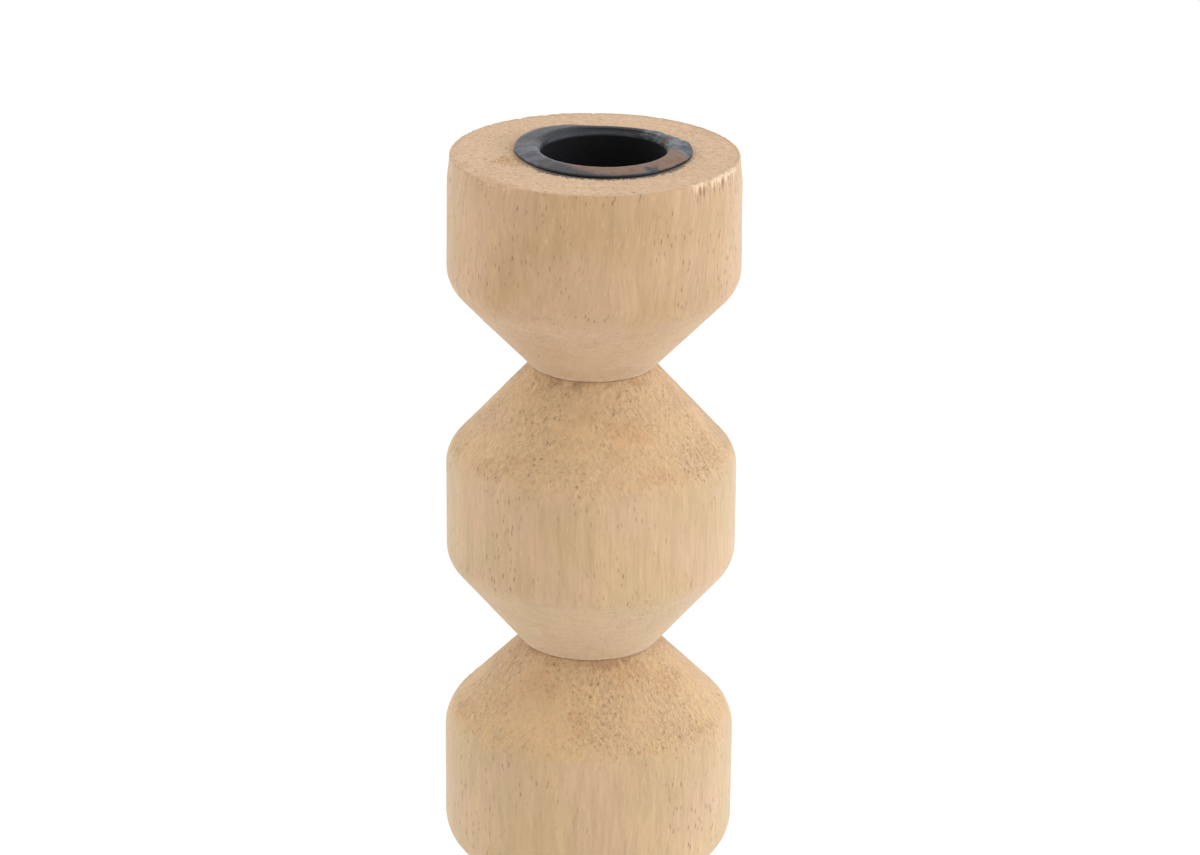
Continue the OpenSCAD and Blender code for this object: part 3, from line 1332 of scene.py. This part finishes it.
@dataclass
class TopBead(Bead):
    """The flat-topped bead that takes the cup."""

    taper: float = 15.9 * MM
    neck: Joint | None = None
    hole: float = 11.5 * MM
    soft: float = 6.6 * MM
    rim_drop: float = 4.6 * MM
    rim_drop_inset: float = 0.15 * MM
    rim_drop_soft: float = 4.0 * MM
    rim_inset: float = 0.6 * MM
    rim_swell: float = 0.09 * MM
    rim_soft: float = 0.35 * MM
    rim_width: float = 1.6 * MM
    seat_radius: float = 12.6 * MM
    seat_depth: float = 21.7 * MM
    covered: float = 14.5 * MM
    cup_offset: float = 1.5 * MM

    def neck_radii(self) -> tuple[float, float]:
        """Give the radii of the necks below and above the bead."""
        return self.neck.above, 0.0

    def wood(self) -> RawWood:
        """Give the bead's finish.

        Returns:
            A wood a little duller than the other beads', with the marks that the cup left.
        """
        return CupBeadWood(
            f"{self.node}_wood",
            self.log,
            self.lean,
            self.swirl,
            self.tear,
            side=paint(203, 169, 127),
            rosy=paint(207, 173, 136),
            cone=paint(204, 171, 133),
            low_neck=self.neck.above * PER_MM,
            cup=(self.cup_offset * PER_MM, 0.0),
            head=self.head * PER_MM,
            rim=(self.radius - self.rim_inset) * PER_MM,
        )

    def on_rim(self, degrees: float) -> Triple:
        """Give a place on the rim."""
        turn, reach = math.radians(degrees), self.radius - self.rim_inset
        return reach * math.cos(turn), reach * math.sin(turn), self.head

    def corners(self) -> list[Corner]:
        """Give the bead's outline.

        Returns:
            The corners from the dowel hole, round the band and the rim, to the cup's seat.
        """
        rim = self.radius - self.rim_inset
        drop_radius = self.radius - self.rim_drop_inset
        floor = self.head - self.seat_depth
        outside = [
            Corner(self.radius, self.foot + self.taper, self.soft),
            Corner(drop_radius, self.head - self.rim_drop, self.rim_drop_soft),
            Corner(rim + self.rim_swell, self.head - self.rim_width),
            Corner(rim, self.head, self.rim_soft, rim=1.0),
            Corner(rim - self.rim_width, self.head),
        ]
        seat = [
            Corner(self.covered, self.head),
            Corner(self.seat_radius, self.head),
            Corner(self.seat_radius, floor),
            Corner(0.0, floor),
        ]
        return (
            self.neck.end(self.foot, Facing.DOWN, self.hole)
            + [replace(corner, shown=True, worked=1.0) for corner in outside]
            + [replace(corner, shift=1.0) for corner in seat]
        )


@dataclass
class FootBead(Bead):
    """The bead that stands on the table."""

    shoulder: float = 15.9 * MM
    neck: Joint | None = None
    hole: float = 15.5 * MM
    soft: float = 6.6 * MM
    edge: float = 0.8 * MM
    low_soft: float = 0.5 * MM
    high_soft: float = 0.7 * MM
    worn_in: float = 2.4 * MM
    worn_up: float = 3.2 * MM

    def neck_radii(self) -> tuple[float, float]:
        """Give the radii of the necks below and above the bead."""
        return 0.0, self.neck.below

    def corners(self) -> list[Corner]:
        """Give the bead's outline.

        Returns:
            The corners from the middle of the underside, round the worn edge, to the dowel hole.
        """
        end = self.neck.end(self.head, Facing.UP, self.hole)
        outside = [
            Corner(self.radius - self.worn_in, self.foot, worked=0.3),
            Corner(self.radius - self.edge, self.foot, self.low_soft, worked=0.3, rim=0.6),
            Corner(self.radius, self.foot + self.edge, self.high_soft, worked=0.7, rim=0.8),
            Corner(self.radius, self.foot + self.worn_up, worked=1.0),
            Corner(self.radius, self.head - self.shoulder, self.soft, worked=1.0),
        ]
        return [Corner(0.0, self.foot)] + [replace(corner, shown=True) for corner in outside] + end[::-1]


# ---------------------------------------------------------------- torn fibres


def fibre_tuft() -> GeometryTree:
    """Build the tree that raises torn fibres along an arc of a rim.

    Returns:
        The tree. Angles are in radians.
    """
    tree = GeometryTree(
        "fibre_tuft",
        {
            "Count": ("Int", 60),
            "Radius": ("Float", 25.0 * MM),
            "Height": ("Float", 0.0),
            "Start": ("Float", 0.0),
            "Sweep": ("Float", 1.0),
            "Drop": ("Float", 2.0 * MM),
            "Slope": ("Float", 0.115),
            "Length": ("Float", 2.0 * MM),
            "Thickness": ("Float", 0.1 * MM),
            "Seed": ("Int", 1),
        },
    )
    given = tree.given

    def random(low: float, high: float, extra: int) -> Socket:
        """Draw a number for each fibre.

        Args:
            low, high: the range.
            extra: what is added to the seed, so that each draw differs.

        Returns:
            The number.
        """
        inputs = {"Seed": tree.add(given["Seed"], extra), 2: low, 3: high}
        return tree.node("FunctionNodeRandomValue", inputs, data_type="FLOAT").outputs[1]

    line = tree.node("GeometryNodeMeshLine", {"Count": given["Count"]}).outputs[0]
    angle = tree.add(given["Start"], tree.times(given["Sweep"], random(0.0, 1.0, 0)))
    drop = tree.times(given["Drop"], random(0.0, 1.0, 1))
    radius = tree.add(given["Radius"], tree.times(given["Slope"], drop))
    place = tree.joined(
        tree.times(radius, tree.math("COSINE", angle)),
        tree.times(radius, tree.math("SINE", angle)),
        tree.math("SUBTRACT", given["Height"], drop),
    )
    line = tree.placed(line, place)
    shape = {"Vertices": 5, "Side Segments": 3, "Fill Segments": 1, "Radius Top": 0.0}
    shape |= {"Radius Bottom": given["Thickness"], "Depth": given["Length"]}
    sliver = tree.node("GeometryNodeMeshCone", shape).outputs[0]
    up = tree.math("DIVIDE", tree.split(tree.position())[2], given["Length"])
    bow = tree.times(tree.math("POWER", up, 2.0), given["Length"], 0.12)
    sliver = tree.moved(sliver, tree.joined(bow, 0.0, 0.0))
    lean = tree.joined(random(-0.10, 0.10, 2), random(-0.03, 0.16, 3), angle)
    turned = tree.node("FunctionNodeEulerToRotation", {0: lean}).outputs[0]
    size = tree.joined(random(0.5, 1.3, 4), random(0.6, 1.6, 5), random(0.35, 1.1, 6))
    grown = {"Points": line, "Instance": sliver, "Rotation": turned, "Scale": size}
    tree.close(tree.node("GeometryNodeInstanceOnPoints", grown).outputs[0])
    return tree


@dataclass(frozen=True)
class Tuft:
    """Torn fibres along an arc of the top bead's rim, with angles in degrees."""

    name: str
    middle: float
    sweep: float
    count: int
    seed: int
    inset: float = 0.05 * MM
    sunk: float = 0.35 * MM
    length: float = 1.2 * MM
    thickness: float = 0.06 * MM

    def build(self, tuft: GeometryTree, wood: bpy.types.Material, top: TopBead) -> None:
        """Raise the fibres.

        Args:
            tuft: the tree that raises them.
            wood: their finish.
            top: the bead that they are torn from.
        """
        piece = add_object(self.name, bpy.data.meshes.new(self.name))
        tuft.apply(
            piece,
            wood,
            Count=self.count,
            Radius=top.radius - top.rim_inset - self.inset,
            Height=top.head - self.sunk,
            Start=math.radians(self.middle - self.sweep / 2),
            Sweep=math.radians(self.sweep),
            Drop=self.length,
            Length=self.length,
            Thickness=self.thickness,
            Seed=self.seed,
        )
        place_on_body(piece, Slot.WOOD)


# ---------------------------------------------------------------- the iron cup


@dataclass(frozen=True)
class RoundCurve:
    """A length that changes smoothly once round the axis, given at a few directions.

    turns are the directions, from -180 to 180 degrees, with the first at -180. lengths
    are in millimetres, and none is more than half the span from zero.
    """

    turns: tuple[float, ...]
    lengths: tuple[float, ...]
    span: float = 6.0

    def follow(self, tree: Graph, turn: Socket) -> Socket:
        """Read the curve at a direction.

        Args:
            tree: the graph that gets the curve.
            turn: the direction, in degrees.

        Returns:
            The length, in metres.
        """
        share = tree.math("DIVIDE", tree.add(turn, 180.0), 360.0)
        node = tree.node("ShaderNodeFloatCurve", {"Value": share})
        curve = node.mapping.curves[0]
        closed = [*zip(self.turns, self.lengths), (180.0, self.lengths[0])]
        for _ in range(len(closed) - len(curve.points)):
            curve.points.new(0.5, 0.5)
        for point, (degrees, length) in zip(curve.points, closed):
            point.location = ((degrees + 180.0) / 360.0, 0.5 + length / self.span)
        node.mapping.update()
        return tree.times(tree.math("SUBTRACT", node.outputs[0], 0.5), self.span * MM)


def iron_forging(reach: RoundCurve, rise: RoundCurve) -> GeometryTree:
    """Build the tree that turns the cup and gives its lip the unevenness of the hammer.

    Args:
        reach: how far the lip's edge lies in or out.
        rise: how far its edge is bent up or down.

    Returns:
        The tree. Depths are in metres.
    """
    tree = GeometryTree(
        "iron_forging",
        {
            "Around": ("Int", 360),
            "Shift": ("Vector", ORIGIN),
            "Uneven": ("Float", 0.10 * MM),
            "Hammered": ("Float", 0.07 * MM),
            "Crusted": ("Float", 0.40 * MM),
        },
    )
    given = tree.given
    skin = tree.turned()
    x, y, _ = tree.split(tree.vector("SUBTRACT", tree.position(), given["Shift"]))
    lip = tree.attribute("worked")
    turn = tree.turn(x, y)
    outward = tree.vector("NORMALIZE", tree.joined(x, y, 0.0))
    bent = tree.scaled(outward, tree.times(reach.follow(tree, turn), tree.attribute("rim")))
    place = tree.scaled(tree.position(), PER_MM)
    swell = tree.times(tree.lump(place, 0.13, 1.0), given["Uneven"])
    lifted = tree.joined(0.0, 0.0, tree.times(tree.add(rise.follow(tree, turn), swell), lip))
    dents = tree.times(tree.lump(place, 0.45), given["Hammered"])
    crusted = tree.times(tree.ramp(turn, -14.0, 0.0), tree.ramp(turn, 54.0, 42.0), given["Crusted"])
    lumps = tree.times(tree.lump(place, 0.70, 2.0, 0.6), crusted)
    pushed = tree.scaled(tree.normal(), tree.times(tree.add(dents, lumps), lip))
    tree.close(tree.moved(skin, tree.vector("ADD", tree.vector("ADD", bent, lifted), pushed)))
    return tree


@dataclass
class CandleCup:
    """The iron cup: a tube with a floor and a domed lip that rests on the wood."""

    node: str = "candle_cup"
    wood_top: float = 0.0
    bore: float = 11.2 * MM
    wall: float = 1.3 * MM
    floor: float = 1.2 * MM
    depth: float = 20.0 * MM
    edge_height: float = 0.60 * MM
    crest_height: float = 1.35 * MM
    crest_run: float = 1.0 * MM
    inner_height: float = 0.80 * MM
    inner_soft: float = 1.5 * MM
    step: float = 0.15 * MM
    around: int = 420
    reach: RoundCurve = RoundCurve(
        turns=(-180.0, -146.0, -90.0, -61.0, -39.0, -16.0, 3.0, 38.0, 92.0, 122.0, 143.0),
        lengths=(0.0, -0.9, -0.5, -0.5, -0.8, -0.35, -0.15, -1.6, -1.5, -0.6, 0.25),
    )
    rise: RoundCurve = RoundCurve(
        turns=(-180.0, -120.0, -60.0, -15.0, 8.0, 38.0, 92.0, 120.0, 142.0),
        lengths=(0.15, -0.05, -0.10, 0.10, 0.45, 0.62, 0.35, 0.85, 0.80),
    )

    def __post_init__(self) -> None:
        """Read the lip's place and width from the frame."""
        low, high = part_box(self.node)
        self.middle = (low[0] + high[0]) / 2
        self.lip = (high[0] - low[0]) / 2

    def corners(self) -> list[Corner]:
        """Give the cup's outline, which follows the cup off the turning axis.

        Returns:
            The corners from under its floor, round the lip, to its inside.
        """
        top, lip, bore = self.wood_top, self.lip, self.bore
        tube = bore + self.wall
        inside = top - self.depth
        under = inside - self.floor
        chain = [
            Corner(0.0, under),
            Corner(tube, under, self.wall + self.inner_soft),
            Corner(tube, top),
            Corner(lip - 0.6 * MM, top + 0.01 * MM, shown=True, rim=1.0),
            Corner(lip, top + 0.10 * MM, 0.15 * MM, shown=True, worked=0.2, rim=1.0),
            Corner(lip - 0.08 * MM, top + self.edge_height, 0.6 * MM, shown=True, worked=1.0, rim=1.0),
            Corner(bore + self.crest_run, top + self.crest_height, 1.6 * MM, shown=True, worked=0.6, rim=0.1),
            Corner(bore + 0.08 * MM, top + self.inner_height, 0.7 * MM, shown=True, worked=0.35),
            Corner(bore, top - self.inner_soft),
            Corner(bore, inside, self.inner_soft),
            Corner(0.0, inside),
        ]
        return [replace(corner, shift=1.0) for corner in chain]

    def build(self) -> None:
        """Forge the cup and dress it."""
        centre = (self.middle * PER_MM, 0.0, self.wood_top * PER_MM)
        iron = BlackenedIron("blackened_iron", centre, self.bore * PER_MM, self.lip * PER_MM)
        piece = Outline(self.corners(), self.step).chain("candle_cup_forged")
        forging = iron_forging(self.reach, self.rise)
        forging.apply(piece, iron.material(), Around=self.around, Shift=(self.middle, 0.0, 0.0))
        place_on_body(piece, Slot.IRON, self.node)


# ---------------------------------------------------------------- the felt disc


def felt_cutting() -> GeometryTree:
    """Build the tree that makes the felt disc and the loose hairs round its edge.

    Returns:
        The tree. Depths are in metres.
    """
    tree = GeometryTree(
        "felt_cutting",
        {
            "Around": ("Int", 256),
            "Shift": ("Vector", ORIGIN),
            "Ragged": ("Float", 0.2 * MM),
            "Hair length": ("Float", 0.9 * MM),
            "Hair thickness": ("Float", 0.03 * MM),
            "Hairs": ("Float", 2.5),
            "Seed": ("Int", 7),
        },
    )
    given = tree.given
    skin = tree.turned()
    x, y, z = tree.split(tree.position())
    outward = tree.vector("NORMALIZE", tree.joined(x, y, 0.0))
    ragged = tree.lump(tree.scaled(tree.position(), PER_MM), 0.9, 3.0, 0.6)
    push = tree.times(ragged, given["Ragged"], tree.attribute("worked"))
    skin = tree.moved(skin, tree.scaled(outward, push))
    side = tree.ramp(tree.math("ABSOLUTE", tree.split(tree.normal())[2]), 0.5, 0.3)
    scattering = {"Mesh": skin, "Density": tree.times(given["Hairs"], PER_MM * PER_MM), "Seed": given["Seed"]}
    scattering["Selection"] = tree.math("GREATER_THAN", side, 0.5)
    spots = tree.node("GeometryNodeDistributePointsOnFaces", scattering).outputs
    shape = {"Vertices": 3, "Radius Top": 0.0, "Radius Bottom": given["Hair thickness"]}
    shape["Depth"] = given["Hair length"]
    hair = tree.node("GeometryNodeMeshCone", shape).outputs[0]
    leaning = {"Seed": given["Seed"], 0: (-0.9, -0.9, -math.pi), 1: (0.9, 0.9, math.pi)}
    tilt = tree.node("FunctionNodeRandomValue", leaning, data_type="FLOAT_VECTOR").outputs[0]
    bent = tree.node("FunctionNodeEulerToRotation", {0: tilt}).outputs[0]
    turning = {0: spots["Rotation"], 1: bent}
    aim = tree.node("FunctionNodeRotateRotation", turning, rotation_space="LOCAL").outputs[0]
    growing = {"Points": spots["Points"], "Instance": hair, "Rotation": aim}
    both = tree.node("GeometryNodeJoinGeometry")
    tree.put(both.inputs[0], tree.node("GeometryNodeInstanceOnPoints", growing).outputs[0])
    tree.put(both.inputs[0], skin)
    real = tree.node("GeometryNodeRealizeInstances", {0: both.outputs[0]}).outputs[0]
    tree.close(tree.placed(real, tree.joined(x, y, tree.either(z, 0.0))))
    return tree


@dataclass
class FootFelt:
    """The felt disc glued under the foot."""

    node: str = "foot_felt"
    cut_width: float = 2.0 * MM
    soft: float = 0.3 * MM
    step: float = 0.2 * MM

    def build(self) -> None:
        """Cut the disc and dress it."""
        low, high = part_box(self.node)
        radius = (high[0] - low[0]) / 2
        flat = radius - self.cut_width
        corners = [
            Corner(0.0, low[2]),
            Corner(flat, low[2], shown=True),
            Corner(radius, low[2], self.soft, shown=True, worked=1.0),
            Corner(radius, high[2], self.soft, shown=True, worked=1.0),
            Corner(flat, high[2]),
            Corner(0.0, high[2]),
        ]
        piece = Outline(corners, self.step, arc_steps=5).chain("foot_felt_cut")
        felt_cutting().apply(piece, Felt().material())
        place_on_body(piece, Slot.FELT, self.node)


# ---------------------------------------------------------------- the whole object


def place_on_body(piece: bpy.types.Object, slot: Slot, *nodes: str) -> None:
    """Fix a finished piece to the object's one body.

    Args:
        piece: the finished piece.
        slot: the slot that its finish belongs to; not used.
        nodes: the CAD nodes that it stands for.
    """
    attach(piece, BODY)
    if nodes:
        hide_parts(*nodes)
    faces = len(piece.data.polygons)
    log.info("%s: %d faces, stands for %s", piece.name, faces, ", ".join(nodes) or "no CAD node")


@dataclass
class Candlestick:
    """The four beads, their dowels, the cup and the felt."""

    top_neck: Joint = Joint(below=11.05 * MM, above=11.3 * MM)
    middle_neck: Joint = Joint(below=12.2 * MM, above=12.35 * MM)
    bottom_neck: Joint = Joint(below=12.2 * MM, above=12.35 * MM)
    cup_offset: float = 1.5 * MM
    torn_at: float = -33.0
    nicked_at: float = -134.0
    dowels: tuple[str, ...] = ("top_dowel", "middle_dowel", "bottom_dowel")

    def build(self) -> None:
        """Build and dress every piece."""
        turning = wood_turning()
        top = TopBead(
            "top_bead",
            log=(3.0, 19.0, 7.0),
            lean=(0.04, -0.09, 0.0),
            swirl=6.0,
            tear=0.35,
            neck=self.top_neck,
            cup_offset=self.cup_offset,
        )
        top.build(
            turning,
            Shift=(self.cup_offset, 0.0, 0.0),
            Torn_place=top.on_rim(self.torn_at),
            Nicked_place=top.on_rim(self.nicked_at),
        )
        self.middle_beads(turning)
        foot = FootBead(
            "foot_bead", log=(37.0, 11.0, -63.0), lean=(0.02, -0.03, 0.0), swirl=2.4, neck=self.bottom_neck
        )
        foot.build(turning)
        self.torn_rim(top)
        CandleCup(wood_top=top.head).build()
        FootFelt().build()
        self.dress_dowels()

    def middle_beads(self, turning: GeometryTree) -> None:
        """Build the two beads with a cone at each end.

        Args:
            turning: the tree that turns a bead.
        """
        upper = MiddleBead(
            "upper_bead",
            log=(-21.0, 5.0, 43.0),
            lean=(-0.02, 0.03, 0.0),
            swirl=1.6,
            sway=(-0.07 * MM, 0.0, 0.0),
            taper=16.4 * MM,
            shoulder=17.0 * MM,
            low_neck=self.middle_neck,
            high_neck=self.top_neck,
            high_hole=19.5 * MM,
            soft=5.8 * MM,
        )
        upper.build(turning)
        lower = MiddleBead(
            "lower_bead",
            log=(12.0, -33.0, 81.0),
            lean=(0.03, 0.01, 0.0),
            taper=15.5 * MM,
            shoulder=14.7 * MM,
            low_neck=self.bottom_neck,
            high_neck=self.middle_neck,
            soft=7.2 * MM,
        )
        lower.build(turning)

    def torn_rim(self, top: TopBead) -> None:
        """Raise the torn fibres at the front of the top bead's rim.

        Args:
            top: the top bead.
        """
        pale = {"side": paint(240, 217, 186), "rosy": paint(232, 206, 174)}
        wood = RawWood("torn_fibre_wood", top.log, **pale).material()
        tuft = fibre_tuft()
        Tuft("right_rim_fibres", self.torn_at, sweep=30.0, count=90, seed=11).build(tuft, wood, top)
        Tuft("left_rim_fibres", self.nicked_at - 5.0, sweep=9.0, count=8, seed=23).build(tuft, wood, top)

    def dress_dowels(self) -> None:
        """Give the CAD dowels their wood."""
        wood = DowelWood().material()
        for name in self.dowels:
            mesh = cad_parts[name].data
            mesh.materials.clear()
            mesh.materials.append(wood)
            log.info("%s: the CAD node, in dowel wood", name)


# ---------------------------------------------------------------- the studio


@dataclass
class Studio:
    """The pale floor, the soft light and the camera."""

    wood_top: float
    floor_size: float = 24.0
    ambient: float = 1.12
    dimmed: float = 0.40
    dim_side: Triple = (-0.30, -0.94, 0.10)
    dim_edge: float = 0.1
    key_power: float = 5.0
    key_size: float = 0.9
    key_at: Triple = (1.05, -0.25, 0.55)
    key_colour: Colour = (0.94, 1.0, 1.15)
    rim_power: float = 2.2
    rim_at: Triple = (-0.9, 0.55, 0.45)
    aim_share: float = 0.6
    sensor: float = 36.0
    lens: float = 135.0
    clip: tuple[float, float] = (0.05, 40.0)
    camera_at: Triple = (0.0, -0.76346, 0.22725)
    look: Triple = (0.001750, 0.939340, -0.342982)
    roll: float = 0.0115

    def build(self) -> None:
        """Set up the whole studio."""
        self.lay_floor()
        self.light_world()
        self.hang("key_light", self.key_at, self.key_size, self.key_power, self.key_colour)
        self.hang("rim_light", self.rim_at, self.key_size, self.rim_power, WHITE)
        self.place_camera()
        view = bpy.context.scene.view_settings
        view.view_transform = "Standard"
        view.look = "None"

    def lay_floor(self) -> None:
        """Lay the floor at the height that the object stands on."""
        half = self.floor_size / 2
        corners = [(-half, -half, 0.0), (half, -half, 0.0), (half, half, 0.0), (-half, half, 0.0)]
        mesh = bpy.data.meshes.new("floor")
        mesh.from_pydata(corners, [], [(0, 1, 2, 3)])
        mesh.materials.append(StudioPaper().material())
        floor = add_object("floor", mesh)

    def light_world(self) -> None:
        """Surround the object with white light, a little weaker from the front."""
        world = bpy.data.worlds.new("studio_world")
        world.use_nodes = True
        g = Graph(world.node_tree)
        side = g.vector("DOT_PRODUCT", g.node("ShaderNodeTexCoord").outputs["Generated"], self.dim_side)
        share = g.ramp(side, self.dim_edge, 1.0, 1.0, 1.0 - self.dimmed)
        light = world.node_tree.nodes["Background"].inputs
        g.put(light["Color"], WHITE)
        g.put(light["Strength"], g.times(share, self.ambient))
        bpy.context.scene.world = world

    def hang(self, name: str, place: Triple, size: float, power: float, colour: Colour) -> None:
        """Hang a soft lamp that looks at the middle of the object.

        Args:
            name: the lamp's name.
            place: where it hangs.
            size: the side of its square.
            power: its power, in watts.
            colour: the colour of its light.
        """
        data = bpy.data.lights.new(name, "AREA")
        data.shape = "SQUARE"
        data.size = size
        data.energy = power
        data.color = colour
        lamp = add_object(name, data)
        lamp.location = place
        aim = Vector((0.0, 0.0, self.wood_top * self.aim_share)) - Vector(place)
        lamp.rotation_euler = aim.to_track_quat("-Z", "Y").to_euler()

    def place_camera(self) -> None:
        """Put the camera where it looks down on the cup."""
        data = bpy.data.cameras.new("camera")
        data.sensor_width = self.sensor
        data.lens = self.lens
        data.clip_start, data.clip_end = self.clip
        camera = add_object("camera", data)
        ahead = Vector(self.look).normalized()
        level = ahead.cross(Vector((0.0, 0.0, 1.0))).normalized()
        above = level.cross(ahead)
        right = level * math.cos(self.roll) + above * math.sin(self.roll)
        up = right.cross(ahead)
        turn = Matrix((right, up, -ahead)).transposed().to_4x4()
        place = Vector(self.camera_at) + Vector((0.0, 0.0, self.wood_top))
        camera.matrix_world = Matrix.Translation(place) @ turn
        bpy.context.scene.camera = camera


def main() -> None:
    """Build the studio and the candlestick."""
    logging.basicConfig(level=logging.INFO, format="%(name)s: %(message)s")
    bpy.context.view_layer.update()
    Studio(wood_top=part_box("top_bead")[1][2]).build()
    Candlestick().build()


if __name__ == "__main__":
    main()
